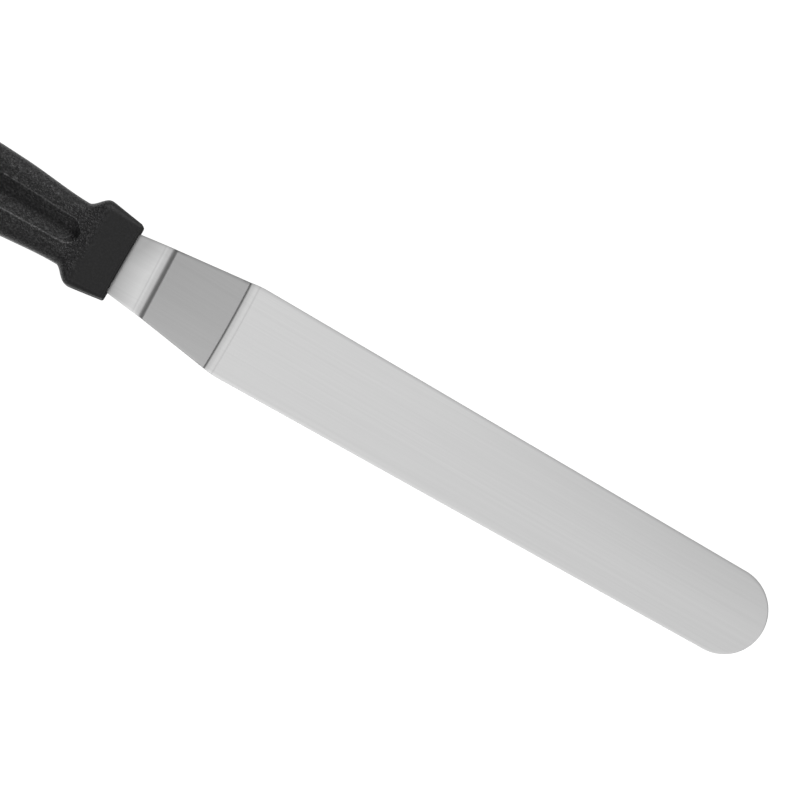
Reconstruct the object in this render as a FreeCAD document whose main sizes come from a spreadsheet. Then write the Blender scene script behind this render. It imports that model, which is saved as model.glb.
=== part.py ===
"""Offset spatula: one bent strip of stainless spring steel with a black plastic handle moulded over its tang.

Both bodies are drawn from the collar, the front face of the handle: the blade is drawn from there towards
the tip, and the handle from there towards the butt.  The blade rests flat on z = 0, with the handle raised
above it, and the finished part has its origin under the middle of its length.
"""
import FreeCAD, Part
import math
import os

import Sketcher

ORIGIN = -1  # Sketcher's number for the sketch's own origin and its horizontal axis
UPRIGHT = -2  # Sketcher's number for the sketch's vertical axis
START, END, CENTRE = 1, 2, 3  # Sketcher's numbers for the points of an edge
NORMAL = FreeCAD.Vector(0, 0, 1)

# Driving dimensions in millimetres: alias, value, note
SIZES = [
    # the steel strip, measured from the collar towards the tip
    ("blade_reach", 254.0, "collar to tip, a ten inch blade"),
    ("sheet_thickness", 1.0, "spring steel strip"),
    ("offset_drop", 19.0, "height of the neck above the blade"),
    ("first_bend", 12.7, "collar to the corner between neck and ramp"),
    ("second_bend", 41.5, "collar to the corner between ramp and blade"),
    ("bend_radius", 5.5, "inner radius of both bends"),
    ("neck_width", 23.0, "strip at the collar"),
    ("bend_width", 26.2, "strip at the first bend"),
    ("root_width", 35.1, "widest place, just past the second bend"),
    ("root_from_collar", 44.4, "collar to the widest place"),
    ("root_radius", 44.0, "plan rounding at the widest place"),
    ("neck_radius", 60.0, "plan rounding where the neck's taper changes"),
    ("tip_radius", 15.4, "round end of the blade"),
    ("edge_round", 0.35, "deburred edges of the strip"),
    # the tang, hidden in the handle
    ("tang_width", 14.0, "strip inside the handle"),
    ("tang_inset", 9.0, "collar to where the neck narrows to the tang"),
    ("tang_radius", 3.0, "plan rounding of the tang's corners"),
    ("key_hole_diameter", 6.0, "holes in the tang that the plastic fills"),
    ("key_hole_from_collar", 26.0, "collar to the first key hole"),
    ("key_hole_from_end", 14.0, "last key hole to the end of the tang"),
    ("key_hole_count", 3, "spread evenly between those two"),
    # the handle, measured from the collar towards the butt
    ("handle_length", 122.0, "collar to butt"),
    ("front_width", 28.9, "collar at its front face"),
    ("front_thickness", 15.8, "collar at its front face"),
    ("front_corner", 1.2, "section corners at the front face"),
    ("front_round", 0.6, "rounding around the front face"),
    ("ear_from_front", 13.2, "front face to the tips of the ears"),
    ("ear_width", 32.8, "collar across its ears"),
    ("ear_thickness", 18.0, "collar at its ears"),
    ("ear_corner", 1.8, "section corners at the ears"),
    ("shoulder_length", 6.8, "ears to waist, an S in plan"),
    ("waist_width", 23.3, "narrowest place of the grip"),
    ("waist_thickness", 16.2, "grip at the waist"),
    ("waist_corner", 4.2, "section corners at the waist"),
    ("grip_from_ears", 32.8, "ears to the middle of the grip"),
    ("grip_width", 26.7, "grip at its middle"),
    ("grip_thickness", 17.8, "grip at its middle"),
    ("grip_corner", 4.8, "section corners at the middle of the grip"),
    ("palm_from_butt", 37.0, "butt to the widest place of the grip"),
    ("palm_width", 30.2, "widest place of the grip"),
    ("palm_thickness", 19.2, "grip at its widest place"),
    ("palm_corner", 5.2, "section corners at the widest place"),
    ("butt_width", 28.4, "grip where its rounded end begins"),
    ("butt_thickness", 17.2, "grip where its rounded end begins"),
    ("butt_corner", 5.0, "section corners where the rounded end begins"),
    ("butt_length", 13.0, "length of the rounded end"),
    ("butt_side_round", 9.0, "how far the rounded end draws in at each side"),
    ("butt_face_round", 4.6, "how far the rounded end draws in at each face"),
    # flutes on both faces of the grip, and the hanging hole
    ("flute_radius", 6.4, "round section of the flute"),
    ("flute_end_radius", 6.3, "round ends of the flute"),
    ("flute_depth", 2.0, "below the face at the waist"),
    ("flute_from_ears", 2.4, "ears to the flute's near end"),
    ("flute_from_hole", 12.1, "flute's far end to the wall of the hanging bore"),
    ("hang_hole_diameter", 8.0, "bore through the butt"),
    ("hang_hole_from_butt", 13.5, "butt to the bore's axis"),
    ("hang_hole_land", 13.4, "length of the bore between its flared mouths"),
    ("hang_hole_from_tang", 16.5, "wall of the bore to the end of the tang"),
]
# Wall of the hanging bore and end of the tang, from the collar
HOLE_WALL = "(sizes.handle_length - sizes.hang_hole_from_butt - sizes.hang_hole_diameter / 2)"
TANG_END = f"({HOLE_WALL} - sizes.hang_hole_from_tang)"

# Place of the collar, so that the origin is under the middle of the whole length
COLLAR = "(sizes.handle_length - sizes.blade_reach) / 2"
MARGIN = 6.0  # how far a cutting sketch reaches past the solid that it trims

# Half the bend's angle, for the strip's upper side, which is drawn from the lower one
HALF_BEND = "atan(sizes.offset_drop / (sizes.second_bend - sizes.first_bend)) / 2"


def make_sheet(doc):
    """Keep the driving dimensions in a spreadsheet, with an alias for each."""
    sheet = doc.addObject("Spreadsheet::Sheet", "sizes")
    for row, (alias, value, note) in enumerate(SIZES, start=1):
        sheet.set(f"A{row}", alias)
        sheet.set(f"B{row}", str(value))
        sheet.set(f"C{row}", note)
        sheet.setAlias(f"B{row}", alias)
    doc.recompute()
    return sheet


# Sketches -------------------------------------------------------------------------------------------------
def origin_plane(body, role):
    """One of the body's own origin planes."""
    return next(item for item in body.Origin.OriginFeatures if item.Role == role)


def new_sketch(body, name, role, offset=None):
    """A sketch on one of the body's own origin planes, moved along its normal by an expression."""
    sketch = body.newObject("Sketcher::SketchObject", name)
    sketch.AttachmentSupport = [(origin_plane(body, role), "")]
    sketch.MapMode = "FlatFace"
    if offset:
        sketch.setExpression("AttachmentOffset.Base.z", offset)
    return sketch


def bind(sketch, constraint, expression):
    """Add a dimension and tie it to the sheet."""
    index = sketch.addConstraint(constraint)
    sketch.setExpression(f"Constraints[{index}]", expression)


def pin(sketch, edge, point, across, up):
    """Hold a point at two coordinates, each an expression in the sheet's aliases."""
    for kind, axis, expression in (("DistanceX", UPRIGHT, across), ("DistanceY", ORIGIN, up)):
        value = sketch.evalExpression(expression)
        if value > 0:
            bind(sketch, Sketcher.Constraint(kind, ORIGIN, START, edge, point, value), expression)
        elif value < 0:
            bind(sketch, Sketcher.Constraint(kind, edge, point, ORIGIN, START, -value), f"-({expression})")
        else:
            sketch.addConstraint(Sketcher.Constraint("PointOnObject", edge, point, axis))


def corner(across, up, radius=None):
    """An outline's corner, sharp or rounded."""
    return ("corner", across, up, radius)


def cap(across, up, radius):
    """A round end of an outline, given by its centre."""
    return ("cap", across, up, radius)


def touch_points(kind, before, point, after, radius):
    """Where a rounding or a cap leaves the side before it and meets the side after it, and its centre."""
    towards = (point - before).normalize()
    away = (after - point).normalize()
    if kind == "cap":
        right = FreeCAD.Vector(towards.y, -towards.x, 0)
        return point + right * radius, point - right * radius, point
    reach = radius * math.tan(towards.getAngle(away) / 2)
    inwards = (away - towards).normalize()
    return point - towards * reach, point + away * reach, point + inwards * math.hypot(reach, radius)


def draw_outline(sketch, corners):
    """Draw a closed outline of straight sides, anticlockwise, with rounded corners and caps between them."""
    points = [FreeCAD.Vector(*(sketch.evalExpression(text) for text in item[1:3]), 0) for item in corners]
    count = len(corners)
    touches = []
    for index, (kind, _, _, radius) in enumerate(corners):
        point = points[index]
        size = sketch.evalExpression(radius) if radius else 0
        touches.append(touch_points(kind, points[index - 1], point, points[(index + 1) % count], size))
    sides = []
    for index in range(count):
        side = Part.LineSegment(touches[index][1], touches[(index + 1) % count][0])
        sides.append(sketch.addGeometry(side))
    for index, (kind, across, up, radius) in enumerate(corners):
        before, after = sides[index - 1], sides[index]
        if radius is None:
            sketch.addConstraint(Sketcher.Constraint("Coincident", before, END, after, START))
            pin(sketch, after, START, across, up)
            continue
        into, out_of, centre = touches[index]
        turn = (points[index] - points[index - 1]).cross(points[(index + 1) % count] - points[index]).z
        left = kind == "cap" or turn > 0
        first, last = (into, out_of) if left else (out_of, into)
        angles = [math.atan2(end.y - centre.y, end.x - centre.x) for end in (first, last)]
        if angles[1] < angles[0]:
            angles[1] += 2 * math.pi
        circle = Part.Circle(centre, NORMAL, (first - centre).Length)
        arc = sketch.addGeometry(Part.ArcOfCircle(circle, *angles))
        into_end, out_end = (START, END) if left else (END, START)
        sketch.addConstraint(Sketcher.Constraint("Tangent", before, END, arc, into_end))
        sketch.addConstraint(Sketcher.Constraint("Tangent", arc, out_end, after, START))
        bind(sketch, Sketcher.Constraint("Radius", arc, circle.Radius), radius)
        if kind == "cap":
            pin(sketch, arc, CENTRE, across, up)
            continue
        mark = sketch.addGeometry(Part.Point(points[index]), True)
        pin(sketch, mark, START, across, up)
        sketch.addConstraint(Sketcher.Constraint("PointOnObject", mark, START, before))
        sketch.addConstraint(Sketcher.Constraint("PointOnObject", mark, START, after))


def both_sides(corners):
    """Complete an outline, given along its lower side, with its mirror image about the X axis."""
    upper = [(kind, across, f"-({up})", radius) for kind, across, up, radius in reversed(corners)]
    return corners + [item for item in upper if item[0] != "cap"]


# The strip ------------------------------------------------------------------------------------------------
def strip_profile():
    """Side view of the bent strip: neck and tang high, ramp, blade on the table.  Anticlockwise."""
    shift = f"sizes.sheet_thickness * tan({HALF_BEND})"
    outer = "sizes.bend_radius + sizes.sheet_thickness"
    top = "sizes.offset_drop + sizes.sheet_thickness"
    return [
        corner(f"-{TANG_END}", "sizes.offset_drop"),
        corner("sizes.first_bend", "sizes.offset_drop", "sizes.bend_radius"),
        corner("sizes.second_bend", "0", outer),
        corner("sizes.blade_reach", "0"),
        corner("sizes.blade_reach", "sizes.sheet_thickness"),
        corner(f"sizes.second_bend + {shift}", "sizes.sheet_thickness", "sizes.bend_radius"),
        corner(f"sizes.first_bend + {shift}", top, outer),
        corner(f"-{TANG_END}", top),
    ]


def strip_outline():
    """Plan view of the strip: tang, neck, ramp, tapering blade and round tip."""
    lower_side = [
        corner(f"-{TANG_END}", "-sizes.tang_width / 2", "sizes.tang_radius"),
        corner("-sizes.tang_inset", "-sizes.tang_width / 2", "sizes.tang_radius / 2"),
        corner("-sizes.tang_inset", "-sizes.neck_width / 2", "sizes.tang_radius / 2"),
        corner("0", "-sizes.neck_width / 2", "sizes.neck_radius"),
        corner("sizes.first_bend", "-sizes.bend_width / 2", "sizes.neck_radius"),
        corner("sizes.root_from_collar", "-sizes.root_width / 2", "sizes.root_radius"),
        cap("sizes.blade_reach - sizes.tip_radius", "0", "sizes.tip_radius"),
    ]
    return both_sides(lower_side)


def make_blade(doc):
    """Bend a wide strip, trim it to its outline, punch the key holes and round its long edges."""
    body = doc.addObject("PartDesign::Body", "blade")
    profile = new_sketch(body, "strip_profile", "XZ_Plane")
    draw_outline(profile, strip_profile())
    strip = body.newObject("PartDesign::Pad", "strip")
    strip.Profile = profile
    strip.SideType = "Symmetric"
    strip.setExpression("Length", f"sizes.root_width + {MARGIN}")
    doc.recompute()

    plan = new_sketch(body, "strip_outline", "XY_Plane")
    draw_outline(plan, strip_outline())
    far = f"sizes.root_width / 2 + {MARGIN}"
    waste = [
        corner(f"-{TANG_END} - {MARGIN}", f"-({far})"),
        corner(f"sizes.blade_reach + {MARGIN}", f"-({far})"),
    ]
    draw_outline(plan, both_sides(waste))
    trim = body.newObject("PartDesign::Pocket", "trim")
    trim.Profile = plan
    trim.Type = "ThroughAll"
    trim.Reversed = True
    doc.recompute()

    hole_sketch = new_sketch(body, "key_hole_outline", "XY_Plane")
    circle = hole_sketch.addGeometry(Part.Circle(FreeCAD.Vector(), NORMAL, 1))
    bind(hole_sketch, Sketcher.Constraint("Diameter", circle, 2), "sizes.key_hole_diameter")
    pin(hole_sketch, circle, CENTRE, "-sizes.key_hole_from_collar", "0")
    hole = body.newObject("PartDesign::Pocket", "key_hole")
    hole.Profile = hole_sketch
    hole.Type = "ThroughAll"
    hole.Reversed = True
    doc.recompute()
    holes = body.newObject("PartDesign::LinearPattern", "key_holes")
    holes.Originals = [hole]
    holes.Direction = (hole_sketch, ["H_Axis"])
    holes.Reversed = True
    holes.setExpression("Occurrences", "sizes.key_hole_count")
    holes.setExpression("Length", f"{TANG_END} - sizes.key_hole_from_end - sizes.key_hole_from_collar")
    body.Tip = holes
    doc.recompute()

    rounds = body.newObject("PartDesign::Fillet", "edge_rounds")
    rounds.Base = (holes, rim_edges(holes.Shape))
    rounds.setExpression("Radius", "sizes.edge_round")
    doc.recompute()
    return body


def rim_edges(shape):
    """The long edges of the strip: where its faces meet its cut sides, but not around the key holes."""
    names = []
    for number, edge in enumerate(shape.Edges, start=1):
        middle = edge.valueAt((edge.FirstParameter + edge.LastParameter) / 2)
        faces = shape.ancestorsOfType(edge, Part.Face)
        slopes = [abs(face.normalAt(*face.Surface.parameter(middle)).z) for face in faces]
        around_hole = isinstance(edge.Curve, Part.Circle) and len(edge.Vertexes) == 1
        if max(slopes) > 0.5 and min(slopes) < 1e-6 and not around_hole:
            names.append(f"Edge{number}")
    return names


# The handle -----------------------------------------------------------------------------------------------
def section(body, name, from_front, width, thickness, radius):
    """A rounded rectangle across the handle."""
    sketch = new_sketch(body, name, "YZ_Plane", from_front)
    half_width, half_thickness = f"({width}) / 2", f"({thickness}) / 2"
    draw_outline(sketch, [
        corner(f"-{half_width}", f"-{half_thickness}", radius),
        corner(half_width, f"-{half_thickness}", radius),
        corner(half_width, half_thickness, radius),
        corner(f"-{half_width}", half_thickness, radius),
    ])
    return sketch


def front_section(body, angle):
    """A section on the rounding around the front face, which follows a quarter of a circle."""
    back = 1 - math.cos(math.radians(angle))
    drawn_in = 1 - math.sin(math.radians(angle))
    return section(
        body,
        f"front_{angle}",
        f"sizes.front_round * {back:.4f}",
        f"sizes.front_width - 2 * sizes.front_round * {drawn_in:.4f}",
        f"sizes.front_thickness - 2 * sizes.front_round * {drawn_in:.4f}",
        f"sizes.front_corner - sizes.front_round * {drawn_in:.4f}",
    )


def shoulder_section(body, share):
    """A section on the S between the ears and the waist, which follows half a wave."""
    rest = (1 + math.cos(math.pi * share)) / 2
    blend = "sizes.waist_{0} + (sizes.ear_{0} - sizes.waist_{0}) * {1:.4f}"
    return section(
        body,
        f"shoulder_{round(share * 100)}",
        f"sizes.ear_from_front + sizes.shoulder_length * {share:.4f}",
        blend.format("width", rest),
        blend.format("thickness", rest),
        blend.format("corner", rest),
    )


def butt_section(body, angle):
    """A section on the rounded end of the grip, which follows a quarter of an ellipse."""
    forward = math.sin(math.radians(angle))
    drawn_in = 1 - math.cos(math.radians(angle))
    return section(
        body,
        f"butt_{angle}",
        f"sizes.handle_length - sizes.butt_length * {1 - forward:.4f}",
        f"sizes.butt_width - 2 * sizes.butt_side_round * {drawn_in:.4f}",
        f"sizes.butt_thickness - 2 * sizes.butt_face_round * {drawn_in:.4f}",
        f"sizes.butt_corner * {1 - 0.3 * drawn_in:.4f}",
    )


def loft(doc, body, name, sections):
    """Join sections with one smooth solid."""
    solid = body.newObject("PartDesign::AdditiveLoft", name)
    solid.Profile = sections[0]
    solid.Sections = sections[1:]
    doc.recompute()


def make_grip(doc):
    """The handle's outer shape: collar, S-shaped shoulders, swelling grip and rounded butt."""
    body = doc.addObject("PartDesign::Body", "grip")
    front = [front_section(body, angle) for angle in (0, 45, 90)]
    shoulder = [shoulder_section(body, share) for share in (0, 1 / 3, 2 / 3, 1)]
    middle = section(
        body,
        "middle",
        "sizes.ear_from_front + sizes.grip_from_ears",
        "sizes.grip_width",
        "sizes.grip_thickness",
        "sizes.grip_corner",
    )
    palm = section(
        body,
        "palm",
        "sizes.handle_length - sizes.palm_from_butt",
        "sizes.palm_width",
        "sizes.palm_thickness",
        "sizes.palm_corner",
    )
    butt = [butt_section(body, angle) for angle in (0, 30, 60, 90)]
    doc.recompute()

    loft(doc, body, "front_rounding", front)
    loft(doc, body, "collar", [front[-1], shoulder[0]])
    loft(doc, body, "shoulders", shoulder)
    loft(doc, body, "swell", [shoulder[-1], middle, palm, butt[0]])
    loft(doc, body, "butt", butt)
    return body


def cut_flutes(doc, body):
    """Turn a ball-ended groove into the upper face of the grip, and repeat it in the lower face."""
    axis_height = "sizes.waist_thickness / 2 - sizes.flute_depth + sizes.flute_radius"
    near = "sizes.ear_from_front + sizes.flute_from_ears"
    far = f"{HOLE_WALL} - sizes.flute_from_hole"
    profile = new_sketch(body, "flute_profile", "XZ_Plane")
    draw_outline(profile, [
        corner(near, f"{axis_height} - sizes.flute_radius", "sizes.flute_end_radius"),
        corner(far, f"{axis_height} - sizes.flute_radius", "sizes.flute_end_radius"),
        corner(far, axis_height),
        corner(near, axis_height),
    ])
    spin(doc, body, profile, "flute", near, axis_height, far, axis_height)
    pair = body.newObject("PartDesign::Mirrored", "flutes")
    pair.Originals = [body.getObject("flute")]
    pair.MirrorPlane = (origin_plane(body, "XY_Plane"), [""])
    body.Tip = pair
    doc.recompute()


def cut_hang_hole(doc, body):
    """Turn the hanging bore through the butt, with a mouth at each end that flares at 45 degrees."""
    centre = "sizes.handle_length - sizes.hang_hole_from_butt"
    wall = f"{centre} + sizes.hang_hole_diameter / 2"
    land = "sizes.hang_hole_land / 2"
    face = f"sizes.butt_thickness / 2 + {MARGIN}"
    mouth = f"{wall} + {face} - {land}"
    profile = new_sketch(body, "hang_hole_profile", "XZ_Plane")
    draw_outline(profile, [
        corner(centre, f"-({face})"),
        corner(mouth, f"-({face})"),
        corner(wall, f"-({land})"),
        corner(wall, land),
        corner(mouth, face),
        corner(centre, face),
    ])
    spin(doc, body, profile, "hang_hole", centre, f"-({face})", centre, face)


def spin(doc, body, profile, name, start_across, start_up, end_across, end_up):
    """Cut a full turn of a profile about the line between two points."""
    ends = [
        FreeCAD.Vector(profile.evalExpression(across), profile.evalExpression(up), 0)
        for across, up in ((start_across, start_up), (end_across, end_up))
    ]
    axis = profile.addGeometry(Part.LineSegment(*ends), True)
    pin(profile, axis, START, start_across, start_up)
    pin(profile, axis, END, end_across, end_up)
    groove = body.newObject("PartDesign::Groove", name)
    groove.Profile = profile
    groove.ReferenceAxis = (profile, ["Axis0"])
    groove.Angle = 360
    doc.recompute()


def make_handle(doc, blade):
    """The moulding: the grip's outer shape, less the tang that it was moulded round."""
    grip = make_grip(doc)
    cut_flutes(doc, grip)
    cut_hang_hole(doc, grip)
    turn_about = FreeCAD.Rotation(NORMAL, 180)
    grip.Placement = FreeCAD.Placement(FreeCAD.Vector(), turn_about)
    grip.setExpression("Placement.Base.x", COLLAR)
    grip.setExpression("Placement.Base.z", "sizes.offset_drop + sizes.sheet_thickness / 2")
    handle = doc.addObject("Part::Cut", "handle")
    handle.Base = grip
    handle.Tool = blade
    doc.recompute()
    return handle


def check(doc, pieces):
    """Stop before anything is written if a feature failed or a piece isn't one sound solid."""
    failed = [item.Name for item in doc.Objects if {"Invalid", "Error"} & set(item.State)]
    if failed:
        raise RuntimeError(f"features that failed: {failed}")
    for piece in pieces:
        shape = piece.Shape
        if shape.isNull() or not shape.isValid() or len(shape.Solids) != 1:
            raise RuntimeError(f"{piece.Label} is not one sound solid")


def main():
    doc = FreeCAD.newDocument("offset_spatula")
    make_sheet(doc)
    blade = make_blade(doc)
    blade.setExpression("Placement.Base.x", COLLAR)
    doc.recompute()
    handle = make_handle(doc, blade)
    pieces = [blade, handle]
    check(doc, pieces)
    os.makedirs("parts", exist_ok=True)
    for piece in pieces:
        piece.Shape.exportStep(f"parts/{piece.Label}.step")
        print(f"{piece.Label}: {piece.Shape.Volume:.0f} cubic mm")


main()
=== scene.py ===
"""Offset spatula: a brushed stainless strip, bent twice, with a black plastic handle moulded over its tang.

Lengths in the tables below are millimetres.  "Reach" is measured from the collar, the front face of the
handle, towards the tip; "back" is measured from the collar towards the butt.
"""

import bmesh
import bpy
import math
import numpy as np
from mathutils import Matrix, Vector


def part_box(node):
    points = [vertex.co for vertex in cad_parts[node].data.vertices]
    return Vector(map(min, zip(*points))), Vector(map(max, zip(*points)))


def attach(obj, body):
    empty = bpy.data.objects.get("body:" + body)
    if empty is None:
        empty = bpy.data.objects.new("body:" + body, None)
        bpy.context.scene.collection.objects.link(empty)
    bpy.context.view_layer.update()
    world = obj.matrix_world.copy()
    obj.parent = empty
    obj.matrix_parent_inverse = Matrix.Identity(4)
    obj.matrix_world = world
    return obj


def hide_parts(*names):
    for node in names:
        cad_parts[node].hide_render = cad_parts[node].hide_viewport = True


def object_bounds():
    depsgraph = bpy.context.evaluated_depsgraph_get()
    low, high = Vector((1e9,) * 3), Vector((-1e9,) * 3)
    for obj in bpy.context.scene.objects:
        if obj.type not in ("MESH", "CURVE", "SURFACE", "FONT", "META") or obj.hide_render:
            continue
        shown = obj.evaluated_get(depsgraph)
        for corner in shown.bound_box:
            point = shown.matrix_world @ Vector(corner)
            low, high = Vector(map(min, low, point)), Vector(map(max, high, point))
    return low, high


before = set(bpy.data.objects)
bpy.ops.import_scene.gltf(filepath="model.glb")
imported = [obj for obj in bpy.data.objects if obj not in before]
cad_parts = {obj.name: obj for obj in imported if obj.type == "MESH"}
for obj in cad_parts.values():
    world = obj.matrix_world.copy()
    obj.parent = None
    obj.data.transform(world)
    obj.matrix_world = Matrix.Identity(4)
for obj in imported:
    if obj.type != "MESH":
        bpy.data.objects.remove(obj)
cad_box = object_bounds()

MM = 0.001
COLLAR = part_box("handle")[1].x
FLOOR = cad_box[0].z
GRIP_LEVEL = (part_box("handle")[0].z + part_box("handle")[1].z) / 2
BLADE_REACH = (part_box("blade")[1].x - COLLAR) / MM
TANG_BACK = (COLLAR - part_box("blade")[0].x) / MM
HANDLE_LENGTH = (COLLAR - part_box("handle")[0].x) / MM

# The strip
SHEET = 1.0
DROP = 19.0
BEND_SLOPE = math.radians(33.4)
FIRST_BEND = 12.7  # reach of the corner between neck and ramp, on the lower face
SECOND_BEND = 41.2
BEND_LENGTHS = (3.8, 3.5)  # along the strip
PRESS_MARK = (1.0, 0.1, 0.12)  # the press's faint line outside each bend: start, end, steepest slope
FIRST_TILT = -0.038  # the first bend isn't quite square to the strip
SECOND_BOW = 0.35  # the second bend's middle lies this far towards the tip
SECOND_TILT = -0.009
NECK_HALF = 11.5
BEND_HALF = 13.1
ROOT_REACH = 44.4
ROOT_HALF = 17.55
ROOT_ROUND = 5.6  # length of the rounding at the widest place
TIP_RADIUS = 15.4
EDGE_ROUND = 0.25
TANG_HALF = 7.0
TANG_INSET = 9.0
TANG_ROUND = 3.0  # corners of the tang's end
SHOULDER = 1.5  # length of the step from the tang out to the neck
BEND_ROUND = 3.0  # length of the plan rounding where the side turns at the first bend
KEY_HOLES = (26.0, 50.0, 74.0)
KEY_HOLE_RADIUS = 3.0
RIM = 0.15  # the painted edge highlight and edge shade reach this far in from the edge's rounding
COLLAR_SHADE_REACH = 8.5  # reach of the painted shade on the neck in front of the collar, where the collar shades the steel and is mirrored dark in it

# The handle: half width, half thickness and corner radius at each distance back from the collar
FRONT = (14.45, 7.9, 1.6)
CREASE_BACK = 11.4
EARS = (16.4, 9.0, 3.4)
EAR_BACK = 13.2
WAIST = (11.75, 8.1, 4.6)
WAIST_BACK = 20.0
GRIP = (13.6, 8.9, 4.9)
GRIP_BACK = 46.0
PALM = (15.1, 9.6, 5.2)
PALM_BACK = 85.0
BUTT = (14.2, 8.6, 5.0)
BUTT_BACK = 109.0
BUTT_DRAW = (9.0, 4.6, 1.5)
FRONT_ROUND = 0.6
FLUTE_RADIUS = 6.4
FLUTE_END_RADIUS = 6.3
FLUTE_AXIS = 12.5  # above the handle's centre plane
FLUTE_NEAR = 15.6
FLUTE_FAR = 92.4
LIP_ROUND = 0.16
FLUTE_BLUNT = 0.32  # roundness of the bottom of the flute's V, as a share of its half width
HOLE_BACK = 108.5
HOLE_RADIUS = 4.0
HOLE_LAND = 6.7  # half the straight length of the hanging bore
MOUTH_ROUND = 0.35
MOUTH_FLARE = 3.0
RIDGE_BACK = 12.5  # the collar's ridge, rounded off over a length on each side of it
RIDGE_REACH = 5.0
RIDGE_SPREAD = (1.1, 0.9, 1.1)  # averaging length for the half width, half thickness and corner
LIP_SHINE = 0.4  # how far from a flute's lip its gloss is raised, a painted highlight line along the lip
FACE_LEVEL = 6.0  # what is higher than this above the centre plane belongs to a broad face
FLUTE_SHADE_SHARE = 0.55  # painted shade fills this share of the flute's width, along its bottom
PARTING_RIDGE = 0.05
WANDER = 0.75  # the grip bows this far off the strip's line, to the +Y side


# Mesh helpers ---------------------------------------------------------------------------------------------
def new_piece(name, vertices, faces):
    """An object whose mesh has these points and faces, smooth shaded."""
    mesh = bpy.data.meshes.new(name)
    mesh.from_pydata([tuple(point) for point in vertices], [], faces)
    mesh.update()
    mesh.shade_smooth()
    piece = bpy.data.objects.new(name, mesh)
    bpy.context.scene.collection.objects.link(piece)
    return piece


def ring_faces(rings, size):
    """Quads between rings of points, each ring closed, all the same size."""
    faces = []
    for ring in range(rings - 1):
        for point in range(size):
            following = (point + 1) % size
            near, far = ring * size, (ring + 1) * size
            faces.append((near + point, near + following, far + following, far + point))
    return faces


def apply_modifiers(piece):
    """Replace the piece's mesh with what its modifiers make of it."""
    bpy.context.view_layer.update()
    graph = bpy.context.evaluated_depsgraph_get()
    mesh = bpy.data.meshes.new_from_object(piece.evaluated_get(graph))
    old = piece.data
    piece.modifiers.clear()
    piece.data = mesh
    mesh.name = piece.name
    bpy.data.meshes.remove(old)


def cut(piece, cutter, keep=False):
    """Take the cutter's solid out of the piece."""
    modifier = piece.modifiers.new("cut", "BOOLEAN")
    modifier.operation = "DIFFERENCE"
    modifier.solver = "EXACT"
    modifier.object = cutter
    apply_modifiers(piece)
    if not keep:
        bpy.data.objects.remove(cutter)


def clean(piece, sharp_degrees):
    """Join coincident points, face everything outwards, and keep only real corners sharp."""
    work = bmesh.new()
    work.from_mesh(piece.data)
    bmesh.ops.remove_doubles(work, verts=work.verts, dist=2e-6)
    bmesh.ops.dissolve_degenerate(work, edges=work.edges, dist=1e-6)
    bmesh.ops.holes_fill(work, edges=[edge for edge in work.edges if edge.is_boundary], sides=8)
    bmesh.ops.recalc_face_normals(work, faces=work.faces)
    for face in work.faces:
        face.smooth = True
    for edge in work.edges:
        edge.smooth = edge.calc_face_angle(0.0) < math.radians(sharp_degrees)
    work.to_mesh(piece.data)
    work.free()
    weigh = piece.modifiers.new("weigh", "WEIGHTED_NORMAL")
    weigh.keep_sharp = True
    weigh.weight = 80


def lathe(name, profile, centre, segments):
    """A solid of revolution about an upright axis, from (radius, height) pairs in millimetres."""
    turns = np.linspace(0, 2 * np.pi, segments, endpoint=False)
    points = []
    for radius, height in profile:
        for turn in turns:
            points.append((
                centre[0] + MM * radius * math.cos(turn),
                centre[1] + MM * radius * math.sin(turn),
                centre[2] + MM * height,
            ))
    faces = ring_faces(len(profile), segments)
    faces.append(tuple(range(segments))[::-1])
    faces.append(tuple(range(len(points) - segments, len(points))))
    return new_piece(name, points, faces)


def smooth_line(knots, values, places):
    """A smooth curve through the knots with no overshoot, read at the places."""
    knots, values = np.array(knots, float), np.array(values, float)
    steps = np.diff(values) / np.diff(knots)
    slopes = np.zeros(len(knots))
    for index in range(1, len(knots) - 1):
        before, after = steps[index - 1], steps[index]
        if before * after > 0:
            slopes[index] = 2 * before * after / (before + after)
    slopes[-1] = steps[-1]
    where = np.clip(np.searchsorted(knots, places) - 1, 0, len(knots) - 2)
    width = knots[where + 1] - knots[where]
    share = (places - knots[where]) / width
    start, end = values[where], values[where + 1]
    lead = width * slopes[where]
    tail = width * slopes[where + 1]
    cube, square = share ** 3, share ** 2
    return (
        start * (2 * cube - 3 * square + 1)
        + lead * (cube - 2 * square + share)
        + end * (3 * square - 2 * cube)
        + tail * (cube - square)
    )


# The blade ------------------------------------------------------------------------------------------------
def bend_path(length, fullness):
    """One bend as (reach, fall, slope) samples from its start; fullness above 1 turns most at its end."""
    begins, ends, steep = PRESS_MARK
    share = np.linspace(-begins / length, 1, 700)
    mark = steep * np.sin(np.pi * np.clip((share * length + begins) / (begins - ends), 0, 1)) ** 2
    slope = np.where(share < 0, mark, BEND_SLOPE * np.clip(share, 0, 1) ** fullness)
    step = length * (share[-1] - share[0]) / (len(share) - 1)
    middle = (slope[1:] + slope[:-1]) / 2
    reach = np.concatenate([[0], np.cumsum(np.cos(middle)) * step])
    fall = np.concatenate([[0], np.cumsum(np.sin(middle)) * step])
    return reach, fall, slope


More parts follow.
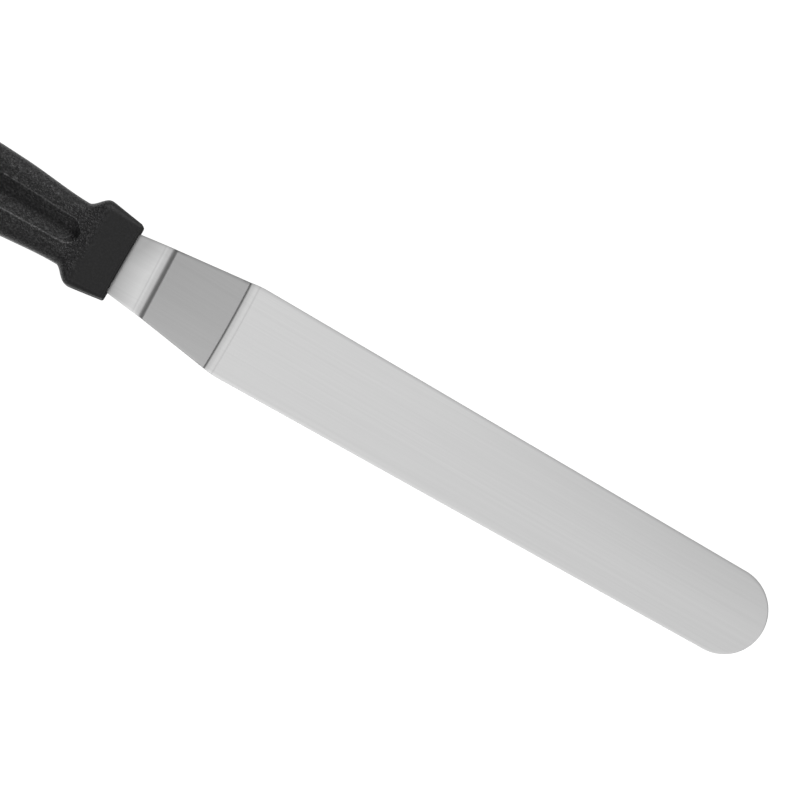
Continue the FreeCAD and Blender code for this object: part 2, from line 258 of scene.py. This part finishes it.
def strip_path():
    """Middle of the strip in side view: arrays of reach, height and downward slope."""
    shift = SHEET / 2 * math.tan(BEND_SLOPE / 2)
    reach, fall, slope = bend_path(BEND_LENGTHS[0], 1.0)
    start = FIRST_BEND + shift - (reach[-1] - fall[-1] / math.tan(BEND_SLOPE))
    first = (start + reach, DROP - fall, slope)
    reach, fall, slope = bend_path(BEND_LENGTHS[1], 2.0)
    end = SECOND_BEND + shift + (reach[-1] - fall[-1] / math.tan(BEND_SLOPE))
    second = (end - reach[::-1], fall[::-1], slope[::-1])
    neck = ([-TANG_BACK - 1, start - 0.01], [DROP, DROP], [0, 0])
    blade = ([end + 0.01, BLADE_REACH + 1], [0, 0], [0, 0])
    parts = (neck, first, second, blade)
    along, height, slopes = (np.concatenate([part[item] for part in parts]) for item in range(3))
    return along, height + SHEET / 2, slopes


def rounded_corner(reach, corner, before, after, length):
    """How far a parabola rounds off a corner between two slopes, at this reach."""
    share = np.clip((reach - (corner - length / 2)) / length, 0, 1)
    return (after - before) * length / 2 * (share ** 2 - np.clip(2 * share - 1, 0, 1))


def side_slopes():
    """Plan slopes of the strip's side: neck, ramp, and the long taper that meets the round tip."""
    neck = (BEND_HALF - NECK_HALF) / FIRST_BEND
    ramp = (ROOT_HALF - BEND_HALF) / (ROOT_REACH - FIRST_BEND)
    span = BLADE_REACH - TIP_RADIUS - ROOT_REACH
    taper = math.asin(TIP_RADIUS / math.hypot(span, ROOT_HALF)) - math.atan2(ROOT_HALF, span)
    return neck, ramp, math.tan(taper)


def half_width(reach):
    """Half the strip's width at this reach, up to where the round tip begins."""
    neck, ramp, taper = side_slopes()
    width = NECK_HALF + neck * np.clip(reach, None, FIRST_BEND)
    width = width + ramp * np.clip(reach - FIRST_BEND, 0, ROOT_REACH - FIRST_BEND)
    width = width + taper * np.clip(reach - ROOT_REACH, 0, None)
    width = width + rounded_corner(reach, FIRST_BEND, neck, ramp, BEND_ROUND)
    width = width + rounded_corner(reach, ROOT_REACH, ramp, taper, ROOT_ROUND)
    return width


def tang_outline():
    """Reaches and half widths along the tang and the step where it widens to the neck."""
    quarter = np.linspace(0, math.pi / 2, 9)
    tang = np.concatenate([
        -TANG_BACK + TANG_ROUND * (1 - np.cos(quarter)),
        np.linspace(-TANG_BACK + TANG_ROUND + 0.4, -TANG_INSET - 0.2, 60),
    ])
    into = tang + TANG_BACK - TANG_ROUND
    rounded = np.sqrt(np.clip(TANG_ROUND ** 2 - into ** 2, 0, None))
    tang_half = np.where(into < 0, TANG_HALF - TANG_ROUND + rounded, TANG_HALF)
    share = (1 - np.cos(np.linspace(0, math.pi, 9))) / 2
    step_half = TANG_HALF + (half_width(-TANG_INSET) - TANG_HALF) * share
    return np.concatenate([tang, -TANG_INSET + SHOULDER * share]), np.concatenate([tang_half, step_half])


def strip_reaches(join):
    """Reaches of the sections from the neck to where the round tip joins, closest round the bends."""
    return np.concatenate([
        np.linspace(-TANG_INSET + SHOULDER + 0.2, 0, 10),
        np.linspace(0.4, 9.0, 18),
        np.linspace(9.2, 17.0, 64),
        np.linspace(17.5, 37.5, 36),
        np.linspace(37.7, 48.0, 84),
        np.linspace(49.0, join - 1.0, 90),
    ])


def blade_outline():
    """Points and outward normals of the strip's side with y above zero, tang to tip."""
    taper = math.atan(-side_slopes()[2])
    join = BLADE_REACH - TIP_RADIUS + TIP_RADIUS * math.sin(taper)
    hidden, hidden_half = tang_outline()
    strip = strip_reaches(join)
    reach = np.concatenate([hidden, strip])
    half = np.concatenate([hidden_half, half_width(strip)])
    slope = np.gradient(half, reach)
    slope[: len(hidden)] = 0
    normals = np.stack([-slope, np.ones_like(slope)], axis=1)
    normals /= np.linalg.norm(normals, axis=1)[:, None]
    turns = np.linspace(math.pi / 2 - taper, 0, 64)
    round_normals = np.stack([np.cos(turns), np.sin(turns)], axis=1)
    round_points = TIP_RADIUS * round_normals + (BLADE_REACH - TIP_RADIUS, 0)
    points = np.concatenate([np.stack([reach, half], axis=1), round_points])
    return points, np.concatenate([normals, round_normals])


def edge_profile(steps=5):
    """The strip's rounded edge as (inset, height) pairs, from the upper face to the lower one."""
    pairs = []
    for upper in (1, -1):
        turns = np.linspace(math.pi / 2, 0, steps) if upper > 0 else np.linspace(0, math.pi / 2, steps)
        for turn in turns:
            inset = EDGE_ROUND * (1 - math.cos(turn))
            height = upper * (SHEET / 2 - EDGE_ROUND * (1 - math.sin(turn)))
            pairs.append((inset, height))
    return pairs


def bend_shift(reach, across):
    """How far the bends lie off square: the first is tilted, the second is bowed and tilted."""
    share = np.clip((reach - FIRST_BEND) / (SECOND_BEND - FIRST_BEND), 0, 1)
    bow = SECOND_BOW * (0.5 - (across / ROOT_HALF) ** 2)
    return (1 - share) * FIRST_TILT * across + share * (bow + SECOND_TILT * across)


def make_blade():
    """Sweep the strip's section along its bent path, tang to tip."""
    along, heights, slopes = strip_path()
    points, normals = blade_outline()
    edge = edge_profile()
    shares = np.linspace(1, -1, 33)
    vertices = []
    for point, normal in zip(points, normals):
        inner = point - EDGE_ROUND * normal
        flat = [(inner[0], inner[1] * share) for share in shares[1:-1]]
        left = [(point[0] - inset * normal[0], point[1] - inset * normal[1]) for inset, _ in edge]
        section = [(x, y, height) for (x, y), (_, height) in zip(left, edge)]
        section += [(x, y, -SHEET / 2) for x, y in flat]
        section += [(x, -y, height) for (x, y), (_, height) in zip(left[::-1], edge[::-1])]
        section += [(x, y, SHEET / 2) for x, y in flat[::-1]]
        for x, y, height in section:
            bent = x - bend_shift(x, y)
            slope = np.interp(bent, along, slopes)
            level = np.interp(bent, along, heights)
            vertices.append((
                COLLAR + MM * (x + height * math.sin(slope)),
                MM * y,
                FLOOR + MM * (level + height * math.cos(slope)),
            ))
    size = len(vertices) // len(points)
    faces = ring_faces(len(points), size)
    faces.append(tuple(range(size))[::-1])
    piece = new_piece("steel_blade", vertices, faces)
    for number, back in enumerate(KEY_HOLES):
        centre = (COLLAR - MM * back, 0, FLOOR + MM * (DROP + SHEET / 2))
        profile = [(KEY_HOLE_RADIUS, -SHEET), (KEY_HOLE_RADIUS, SHEET)]
        cut(piece, lathe(f"key_hole_{number}", profile, centre, 64))
    lay_flat(piece)
    mark_rim(piece)
    return piece


def mark_rim(piece):
    """Store which points lie in a band along the blade's edge, from the collar round the tip, where an edge
    highlight and an edge shade are painted.
    """
    layer = piece.data.attributes.new("rim", "FLOAT", "POINT")
    centre = BLADE_REACH - TIP_RADIUS
    for point, mark in zip(piece.data.vertices, layer.data):
        reach = (point.co.x - COLLAR) / MM
        aside = abs(point.co.y) / MM
        if reach < centre:
            inset = half_width(reach) - aside
        else:
            inset = TIP_RADIUS - math.hypot(reach - centre, aside)
        mark.value = 1.0 if reach > 0 and inset < EDGE_ROUND + RIM else 0.0


def lay_flat(piece):
    """A UV map along and across the strip, one unit to 100 mm, which gives its grain a direction."""
    layer = piece.data.uv_layers.new(name="grain")
    for loop in piece.data.loops:
        place = piece.data.vertices[loop.vertex_index].co
        layer.data[loop.index].uv = (place.x / MM / 100, place.y / MM / 100)


# The handle -----------------------------------------------------------------------------------------------
def eased(start, end, share):
    """Half a wave from start to end."""
    return start + (end - start) * (1 - np.cos(np.pi * share)) / 2


def handle_size(back, item):
    """Half width, half thickness or corner radius (item 0, 1 or 2) at distances back from the collar."""
    peak = CREASE_BACK if item == 1 else EAR_BACK
    swell = smooth_line(
        (WAIST_BACK, GRIP_BACK, PALM_BACK, BUTT_BACK),
        (WAIST[item], GRIP[item], PALM[item], BUTT[item]),
        np.clip(back, WAIST_BACK, BUTT_BACK),
    )
    shoulder = eased(EARS[item], WAIST[item], np.clip((back - peak) / (WAIST_BACK - peak), 0, 1))
    collar = FRONT[item] + (EARS[item] - FRONT[item]) * np.clip(back / peak, 0, 1)
    size = np.where(back < peak, collar, np.where(back < WAIST_BACK, shoulder, swell))
    forward = np.clip((back - BUTT_BACK) / (HANDLE_LENGTH - BUTT_BACK), 0, 1)
    size = size - BUTT_DRAW[item] * (1 - np.sqrt(1 - forward ** 2))
    into = np.clip(1 - back / FRONT_ROUND, 0, 1)
    return size - FRONT_ROUND * (1 - np.sqrt(1 - into ** 2))


def softened_size(back, item):
    """The same size with the collar's ridge rounded off, by averaging over a short length."""
    offsets = np.linspace(-RIDGE_SPREAD[item], RIDGE_SPREAD[item], 9)
    averaged = np.mean([handle_size(back + offset, item) for offset in offsets], axis=0)
    nearness = 1 - np.abs(back - RIDGE_BACK) / RIDGE_REACH
    weight = np.clip(nearness * 2.5, 0, 1)
    return handle_size(back, item) * (1 - weight) + averaged * weight


def flute_radius(back):
    """Radius of the ball-ended flute about its own axis."""
    from_end = np.minimum(back - FLUTE_NEAR, FLUTE_FAR - back)
    rise = FLUTE_END_RADIUS - np.clip(from_end, 0, FLUTE_END_RADIUS)
    ball = np.sqrt(np.clip(FLUTE_END_RADIUS ** 2 - rise ** 2, 0, None))
    return np.where(from_end < 0, 0.0, FLUTE_RADIUS - FLUTE_END_RADIUS + ball)


def softer_low(first, second, rounding):
    """The lower of two heights, with the corner between them rounded."""
    gap = max(1 - abs(first - second) / (3 * rounding), 0.0)
    return min(first, second) - rounding * 0.5 * gap ** 2


def flute_size(back, thickness):
    """Half width and depth of the flute where it meets a face at this height, or zeros past its ends."""
    radius = float(flute_radius(np.array(back)))
    depth = radius - (FLUTE_AXIS - thickness)
    if depth <= 0:
        return 0.0, 0.0
    return math.sqrt(radius ** 2 - (FLUTE_AXIS - thickness) ** 2), depth


def face_height(across, back, thickness):
    """Height of the handle's upper face above the centre plane, with the flute's rounded V."""
    half, depth = flute_size(back, thickness)
    if depth == 0:
        return thickness
    share = across / half
    full_rise = math.hypot(1, FLUTE_BLUNT) - FLUTE_BLUNT
    rise = (math.hypot(share, FLUTE_BLUNT) - FLUTE_BLUNT) / full_rise
    return softer_low(thickness, thickness - depth * (1 - rise), LIP_ROUND)


def handle_quarter(back, width, thickness, corner):
    """A quarter of a section, from the middle of the upper face to the side's centre plane."""
    least_lip, least_flat = 0.9, 1.0
    lip = min(max(flute_size(back, thickness)[0], least_lip), width - corner - least_flat)
    inner = lip * (1 - (1 - np.linspace(0, 1, 15)) ** 1.3)
    outer = lip + (width - corner - lip) * np.linspace(0, 1, 11)[1:] ** 1.5
    quarter = [(y, face_height(y, back, thickness)) for y in np.concatenate([inner, outer])]
    for turn in np.linspace(math.pi / 2, 0, 12)[1:]:
        quarter.append((
            width - corner + corner * math.cos(turn),
            thickness - corner + corner * math.sin(turn),
        ))
    side = thickness - corner
    for height in (side * 0.5, min(0.16, side * 0.3), 0.0):
        ridge = PARTING_RIDGE if height == 0.0 else 0.0
        quarter.append((width + ridge, height))
    return quarter


def handle_ring(back):
    """A whole section of the handle as (across, up) pairs."""
    sizes = [float(softened_size(np.array(back), item)) for item in range(3)]
    quarter = handle_quarter(back, *sizes)
    right = quarter + [(y, -z) for y, z in quarter[-2::-1]]
    left = [(-y, z) for y, z in right[-2:0:-1]]
    return right + left


def handle_stations():
    """Distances back from the collar where the sections are drawn, closer where the shape turns."""
    front = FRONT_ROUND * (1 - np.cos(np.linspace(0, math.pi / 2, 7)))
    flute_end = (FLUTE_END_RADIUS + 0.3) * (1 - np.cos(np.linspace(0.1, math.pi / 2, 40)))
    past_end = FLUTE_END_RADIUS + 1.0
    butt = np.sin(np.linspace(0, math.pi / 2, 24)) * (HANDLE_LENGTH - BUTT_BACK) + BUTT_BACK
    return np.concatenate([
        front,
        np.linspace(1.2, 9.6, 15),
        np.linspace(9.9, FLUTE_NEAR - 0.1, 30),
        FLUTE_NEAR + flute_end,
        np.linspace(FLUTE_NEAR + past_end, FLUTE_FAR - past_end, 74),
        FLUTE_FAR - flute_end[::-1],
        np.linspace(FLUTE_FAR + 0.6, BUTT_BACK - 0.5, 28),
        butt,
    ])


def drift(back):
    """How far the grip lies to the +Y side at this distance back from the collar."""
    return WANDER * math.sin(math.pi * min(max(back / HOLE_BACK, 0.0), 1.0)) ** 1.5


def hole_profile():
    """The hanging bore as (radius, height) pairs: straight, with a rounded, flared mouth at each end."""
    upper = []
    for turn in (0, 0.4, 0.8):
        radius = HOLE_RADIUS + MOUTH_ROUND * (1 - math.cos(turn))
        upper.append((radius, HOLE_LAND + MOUTH_ROUND * math.sin(turn)))
    upper.append((HOLE_RADIUS + MOUTH_FLARE, HOLE_LAND + MOUTH_FLARE))
    return [(radius, -height) for radius, height in upper[::-1]] + upper


def make_handle(blade):
    """Join the sections from collar to butt, then make the hanging hole and the slot round the tang."""
    vertices = []
    stations = handle_stations()
    for back in stations:
        aside = drift(back)
        for across, up in handle_ring(back):
            vertices.append((COLLAR - MM * back, MM * (across + aside), GRIP_LEVEL + MM * up))
    size = len(vertices) // len(stations)
    faces = ring_faces(len(stations), size)
    faces.append(tuple(range(size))[::-1])
    faces.append(tuple(range(len(vertices) - size, len(vertices))))
    piece = new_piece("grip", vertices, faces)
    cut(piece, lathe("hang_hole", hole_profile(), (COLLAR - MM * HOLE_BACK, 0, GRIP_LEVEL), 96))
    cut(piece, blade, keep=True)
    mark_lip_sheen_and_flute_shade(piece)
    return piece


def mark_lip_sheen_and_flute_shade(piece):
    """Store at each point the flute lips' extra gloss, a painted highlight, and the flute bottoms' lost
    gloss, painted shade.
    """
    stations = np.linspace(0, HANDLE_LENGTH, 500)
    lips = [flute_size(back, float(softened_size(np.array(back), 1)))[0] for back in stations]
    shine = piece.data.attributes.new("lip_sheen", "FLOAT", "POINT")
    flute_shade = piece.data.attributes.new("flute_shade", "FLOAT", "POINT")
    end_margin = 1.5
    for point, mark, shade_value in zip(piece.data.vertices, shine.data, flute_shade.data):
        back = (COLLAR - point.co.x) / MM
        aside = abs(point.co.y / MM - drift(back))
        lip = np.interp(back, stations, lips)
        on_face = abs(point.co.z - GRIP_LEVEL) / MM > FACE_LEVEL
        inside = FLUTE_NEAR + end_margin < back < FLUTE_FAR - end_margin
        if on_face and inside:
            mark.value = max(0.0, 1 - abs(aside - lip) / LIP_SHINE)
        if on_face and lip > 0.5:
            shade_value.value = max(0.0, 1 - aside / (FLUTE_SHADE_SHARE * lip))


# Materials ------------------------------------------------------------------------------------------------
def new_material(name):
    """An empty node material with its shader and output."""
    material = bpy.data.materials.new(name)
    material.use_nodes = True
    nodes = material.node_tree.nodes
    nodes.clear()
    shader = nodes.new("ShaderNodeBsdfPrincipled")
    output = nodes.new("ShaderNodeOutputMaterial")
    material.node_tree.links.new(shader.outputs["BSDF"], output.inputs["Surface"])
    return material, shader


def node(material, kind, inputs=None, **settings):
    """Add a node; each input, by name or number, is a value or another node's output."""
    made = material.node_tree.nodes.new(kind)
    for name, value in settings.items():
        setattr(made, name, value)
    for name, value in (inputs or {}).items():
        if isinstance(value, bpy.types.NodeSocket):
            material.node_tree.links.new(value, made.inputs[name])
        else:
            made.inputs[name].default_value = value
    return made


def stretched(material, scale):
    """Object coordinates, stretched by a scale for each axis."""
    place = node(material, "ShaderNodeTexCoord").outputs["Object"]
    return node(material, "ShaderNodeMapping", {"Vector": place, "Scale": scale}).outputs["Vector"]


def noise(material, vector, scale, detail, roughness=0.5):
    """A noise texture's grey value."""
    inputs = {"Vector": vector, "Scale": scale, "Detail": detail, "Roughness": roughness}
    return node(material, "ShaderNodeTexNoise", inputs).outputs["Fac"]


def remap(material, value, low, high, to_low, to_high):
    """Stretch a range of grey values onto another, clamped."""
    inputs = {"Value": value, "From Min": low, "From Max": high, "To Min": to_low, "To Max": to_high}
    return node(material, "ShaderNodeMapRange", inputs).outputs["Result"]


def arithmetic(material, operation, first, second=0.0):
    """A Math node's result, from values or other nodes' outputs."""
    made = node(material, "ShaderNodeMath", {0: first, 1: second}, operation=operation)
    return made.outputs["Value"]


def tinted(material, value, dark, light):
    """A colour between two, by a grey value."""
    inputs = {0: value, 6: (*dark, 1), 7: (*light, 1)}
    return node(material, "ShaderNodeMix", inputs, data_type="RGBA").outputs[2]


def marked(material, name):
    """What the mesh code stored at each point under this name."""
    return node(material, "ShaderNodeAttribute", attribute_name=name).outputs["Fac"]


def steel_painted_light(material):
    """How bright the steel's colour is painted at each place: painted shade in front of the collar and
    towards the tip on the +Y side, painted shade on the +Y edge and a painted highlight on the -Y edge.
    """
    axes = node(material, "ShaderNodeSeparateXYZ", {"Vector": stretched(material, (1, 1, 1))}).outputs
    # Painted shade on the neck in front of the collar, where the collar shades the steel and is mirrored
    # dark in it; it reaches further forward towards the sides, most on the +Y side
    aside = arithmetic(material, "MULTIPLY", arithmetic(material, "ABSOLUTE", axes["Y"]), -0.25)
    askew = arithmetic(material, "ADD", arithmetic(material, "MULTIPLY", axes["Y"], -0.15), aside)
    reach = arithmetic(material, "ADD", axes["X"], askew)
    collar_shade = remap(material, reach, COLLAR, COLLAR + MM * COLLAR_SHADE_REACH, 0.66, 1.0)
    # Painted shade towards the tip on the +Y side, where the light falls off across the blade
    sideways = remap(material, axes["Y"], -0.004, 0.014, 0.0, 0.1)
    towards_tip = remap(material, axes["X"], 0.05, 0.15, 0.0, 1.0)
    side_falloff = arithmetic(material, "MULTIPLY", sideways, towards_tip)
    painted_shading = arithmetic(material, "MULTIPLY", collar_shade, arithmetic(material, "SUBTRACT", 1.0, side_falloff))
    # Painted highlight on the -Y edge and painted shade on the +Y edge, by how the light falls on them
    edge_light_and_shade = remap(material, axes["Y"], -0.004, 0.004, 0.14, -0.2)
    rim = arithmetic(material, "MULTIPLY", marked(material, "rim"), edge_light_and_shade)
    return arithmetic(material, "MULTIPLY", painted_shading, arithmetic(material, "ADD", rim, 1.0))


def brushed_steel():
    """Satin stainless: fine and broad scratches along the strip, in colour and in bump."""
    material, shader = new_material("brushed_stainless")
    fine = noise(material, stretched(material, (25, 5200, 25)), 1.0, 3.0, 0.6)
    broad = noise(material, stretched(material, (7, 900, 7)), 1.0, 2.0)
    cloud = noise(material, stretched(material, (25, 60, 25)), 1.0, 2.0)
    grain = arithmetic(material, "ADD", fine, broad)
    scratched = remap(material, grain, 0.75, 1.25, 0, 1)
    colour = tinted(material, scratched, (0.79, 0.79, 0.79), (0.83, 0.83, 0.83))
    # This sum is nearly always above 0.8, so the roughness is practically even, at 0.28
    worn = arithmetic(material, "ADD", arithmetic(material, "MULTIPLY", cloud, 0.05), 0.5)
    rough = remap(material, arithmetic(material, "ADD", fine, worn), 0.3, 0.8, 0.22, 0.28)
    # The scratched colour is scaled by the painted shade and the painted edge highlight
    inputs = {"Vector": colour, "Scale": steel_painted_light(material)}
    shade = node(material, "ShaderNodeVectorMath", inputs, operation="SCALE")
    bump = node(material, "ShaderNodeBump", {"Strength": 0.06, "Distance": 0.00002, "Height": grain})
    tangent = node(material, "ShaderNodeTangent", direction_type="UV_MAP", uv_map="grain")
    links = material.node_tree.links
    links.new(shade.outputs["Vector"], shader.inputs["Base Color"])
    links.new(rough, shader.inputs["Roughness"])
    links.new(bump.outputs["Normal"], shader.inputs["Normal"])
    links.new(tangent.outputs["Tangent"], shader.inputs["Tangent"])
    shader.inputs["Metallic"].default_value = 1.0
    shader.inputs["Anisotropic"].default_value = 0.75
    shader.inputs["Anisotropic Rotation"].default_value = 0.25
    return material


def plastic_gloss(material, place, axes, body, front):
    """How glossy the plastic is: speckled grip; flute lips glossier, a painted highlight; flute bottoms less
    glossy, painted shade; duller sides; and the front face with its gloss taken out, painted shade.
    """
    speckle = noise(material, place, 1250, 1.0, 0.5)
    mottle = remap(material, speckle, 0.42, 0.66, -0.075, 0.11)
    shine = arithmetic(material, "ADD", arithmetic(material, "MULTIPLY", mottle, body), 0.22)
    # Flute lips made glossier: a painted highlight line along each lip
    lip_sheen = arithmetic(material, "MULTIPLY", marked(material, "lip_sheen"), speckle)
    lips = arithmetic(material, "MULTIPLY", lip_sheen, 0.8)
    # Flute bottoms lose gloss as painted shade, where the deep groove lies in shade
    clear = remap(material, marked(material, "flute_shade"), 0.0, 0.8, 1.0, 0.5)
    above = arithmetic(material, "SUBTRACT", axes["Z"], GRIP_LEVEL)
    from_middle = arithmetic(material, "ABSOLUTE", above)
    sides = remap(material, from_middle, MM * 3.5, MM * 6.5, 0.4, 1.0)
    gloss = arithmetic(material, "ADD", shine, lips)
    for share in (front, clear, sides):
        gloss = arithmetic(material, "MULTIPLY", gloss, share)
    return gloss


def moulded_plastic():
    """Black polypropylene: coarse spark-eroded grip that fades to a smooth matte collar."""
    material, shader = new_material("black_polypropylene")
    place = stretched(material, (1, 1, 1))
    axes = node(material, "ShaderNodeSeparateXYZ", {"Vector": place}).outputs
    body = remap(material, axes["X"], COLLAR - MM * 14.5, COLLAR - MM * 10.5, 1.0, 0.12)
    # 1 on the body and 0 on the front face, where the gloss is taken out as painted shade
    front = remap(material, axes["X"], COLLAR - MM * 0.35, COLLAR - MM * 0.05, 1.0, 0.0)
    pits = noise(material, place, 1900, 1.5, 0.6)
    grains = noise(material, place, 800, 2.0, 0.5)
    patches = noise(material, place, 60, 3.0)
    height = arithmetic(material, "ADD", pits, arithmetic(material, "MULTIPLY", grains, 0.5))
    pitted = remap(material, pits, 0.35, 0.75, 0, 1)
    colour = tinted(material, pitted, (0.004, 0.004, 0.0042), (0.008, 0.008, 0.0083))
    # The front face's colour is painted a little lighter: a flat grey that stands in for its reflections
    front_fill = remap(material, front, 0.0, 1.0, 0.024, 0.0)
    shade = node(material, "ShaderNodeVectorMath", {0: colour, 1: front_fill}, operation="ADD")
    uneven = remap(material, arithmetic(material, "ADD", patches, grains), 0.6, 1.4, 0.26, 0.36)
    matte = remap(material, body, 0.12, 1.0, 0.26, 0.0)
    rough = arithmetic(material, "ADD", uneven, matte)
    bump = node(material, "ShaderNodeBump", {"Strength": body, "Distance": 0.00036, "Height": height})
    links = material.node_tree.links
    links.new(shade.outputs["Vector"], shader.inputs["Base Color"])
    links.new(rough, shader.inputs["Roughness"])
    links.new(bump.outputs["Normal"], shader.inputs["Normal"])
    links.new(plastic_gloss(material, place, axes, body, front), shader.inputs["Specular IOR Level"])
    return material


def floor_paper():
    """Plain white paper with a faint fibre, lit from within so that it stays white."""
    material, shader = new_material("white_paper")
    fibre = noise(material, stretched(material, (1, 1, 1)), 300, 2.0)
    colour = tinted(material, fibre, (0.30, 0.30, 0.30), (0.33, 0.33, 0.33))
    material.node_tree.links.new(colour, shader.inputs["Base Color"])
    shader.inputs["Roughness"].default_value = 0.9
    shader.inputs["Emission Color"].default_value = (1, 1, 1, 1)
    shader.inputs["Emission Strength"].default_value = 0.96
    return material


# Studio ---------------------------------------------------------------------------------------------------
def make_floor():
    """A wide pale floor, a hair below the blade."""
    reach = 6.0
    level = FLOOR - 0.02 * MM
    sides = [(-reach, -reach), (reach, -reach), (reach, reach), (-reach, reach)]
    corners = [(across, along, level) for across, along in sides]
    floor = new_piece("floor", corners, [(0, 1, 2, 3)])
    floor.data.materials.append(floor_paper())


def grey_stops(tree, value, levels):
    """A colour ramp over directions from -1 to 1, with a grey level at each stop."""
    spread = tree.nodes.new("ShaderNodeMapRange")
    spread.inputs["From Min"].default_value = -1.0
    ramp = tree.nodes.new("ShaderNodeValToRGB")
    tree.links.new(value, spread.inputs["Value"])
    tree.links.new(spread.outputs["Result"], ramp.inputs["Fac"])
    stops = ramp.color_ramp.elements
    while len(stops) < len(levels):
        stops.new(0.5)
    for stop, (direction, level) in zip(stops, levels):
        stop.position = (direction + 1) / 2
        stop.color = (level, level, level, 1)
    return ramp.outputs["Color"]


def make_surroundings():
    """Soft light all round: a bright ceiling, with dark cloths low down beyond the tip, butt and sides."""
    world = bpy.data.worlds.new("studio")
    bpy.context.scene.world = world
    world.use_nodes = True
    tree = world.node_tree
    tree.nodes.clear()
    output = tree.nodes.new("ShaderNodeOutputWorld")
    background = tree.nodes.new("ShaderNodeBackground")
    direction = tree.nodes.new("ShaderNodeTexCoord")
    split = tree.nodes.new("ShaderNodeSeparateXYZ")
    tree.links.new(direction.outputs["Generated"], split.inputs["Vector"])
    tree.links.new(background.outputs["Background"], output.inputs["Surface"])
    lengthways = (
        (-1.0, 0.22),
        (-0.5, 0.22),
        (-0.25, 0.85),
        (0.0, 0.815),
        (0.12, 0.68),
        (0.44, 0.68),
        (0.58, 0.2),
        (0.68, 0.13),
        (0.856, 0.13),
        (0.876, 0.64),
        (1.0, 0.68),
    )
    crossways = (
        (-1.0, 0.3),
        (-0.93, 0.3),
        (-0.84, 1.0),
        (0.5, 1.0),
        (0.75, 0.55),
        (0.9, 0.25),
        (1.0, 0.25),
    )
    blend = tree.nodes.new("ShaderNodeVectorMath")
    blend.operation = "MULTIPLY"
    tree.links.new(grey_stops(tree, split.outputs["X"], lengthways), blend.inputs[0])
    tree.links.new(grey_stops(tree, split.outputs["Y"], crossways), blend.inputs[1])
    tree.links.new(blend.outputs["Vector"], background.inputs["Color"])


def soft_box(name, place, size, power, lit):
    """A rectangular soft light that faces the frame's origin and lights only one collection."""
    data = bpy.data.lights.new(name, "AREA")
    data.shape = "RECTANGLE"
    data.size, data.size_y = size
    data.energy = power
    light = bpy.data.objects.new(name, data)
    light.location = place
    light.light_linking.receiver_collection = lit
    light.rotation_euler = (-Vector(place)).to_track_quat("-Z", "Y").to_euler()
    bpy.context.scene.collection.objects.link(light)


def make_lights(grip):
    """Two long soft boxes beside the object, linked to the grip only, so the steel never mirrors them."""
    lit = bpy.data.collections.new("lit_by_boxes")
    lit.objects.link(grip)
    soft_box("right_box", (0.0, -1.2, 1.6), (3.0, 0.6), 18, lit)
    soft_box("left_box", (0.0, 1.45, 1.4), (3.0, 0.9), 52, lit)


def make_camera():
    """Nearly straight above, far back with a long lens, the object running down to the right."""
    aim = Vector((0.0393, 0.0073, FLOOR + MM))
    lean = 0.068
    distance = 1.5
    seen_width = 0.2767
    turn = math.radians(29.8)
    data = bpy.data.cameras.new("camera")
    data.sensor_width = 36.0
    data.lens = data.sensor_width * distance / seen_width
    camera = bpy.data.objects.new("camera", data)
    backwards = Vector((0, -lean, distance)).normalized()
    right = Vector((math.cos(turn), math.sin(turn), 0))
    right = (right - backwards * right.dot(backwards)).normalized()
    up = backwards.cross(right)
    rotation = Matrix((right, up, backwards)).transposed().to_4x4()
    camera.matrix_world = Matrix.Translation(aim + backwards * distance) @ rotation
    bpy.context.scene.collection.objects.link(camera)
    bpy.context.scene.camera = camera


def make_spatula():
    """Both pieces, in place of their CAD solids."""
    blade = make_blade()
    grip = make_handle(blade)
    clean(blade, 50)
    clean(grip, 40)
    for piece, node_name, slot, material in (
        (blade, "blade", "stainless_steel", brushed_steel()),
        (grip, "handle", "black_plastic", moulded_plastic()),
    ):
        piece.data.materials.clear()
        piece.data.materials.append(material)
        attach(piece, "root")
        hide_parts(node_name)
    return grip


make_camera()
make_floor()
make_surroundings()
grip_piece = make_spatula()
make_lights(grip_piece)
bpy.context.scene.view_settings.view_transform = "Standard"
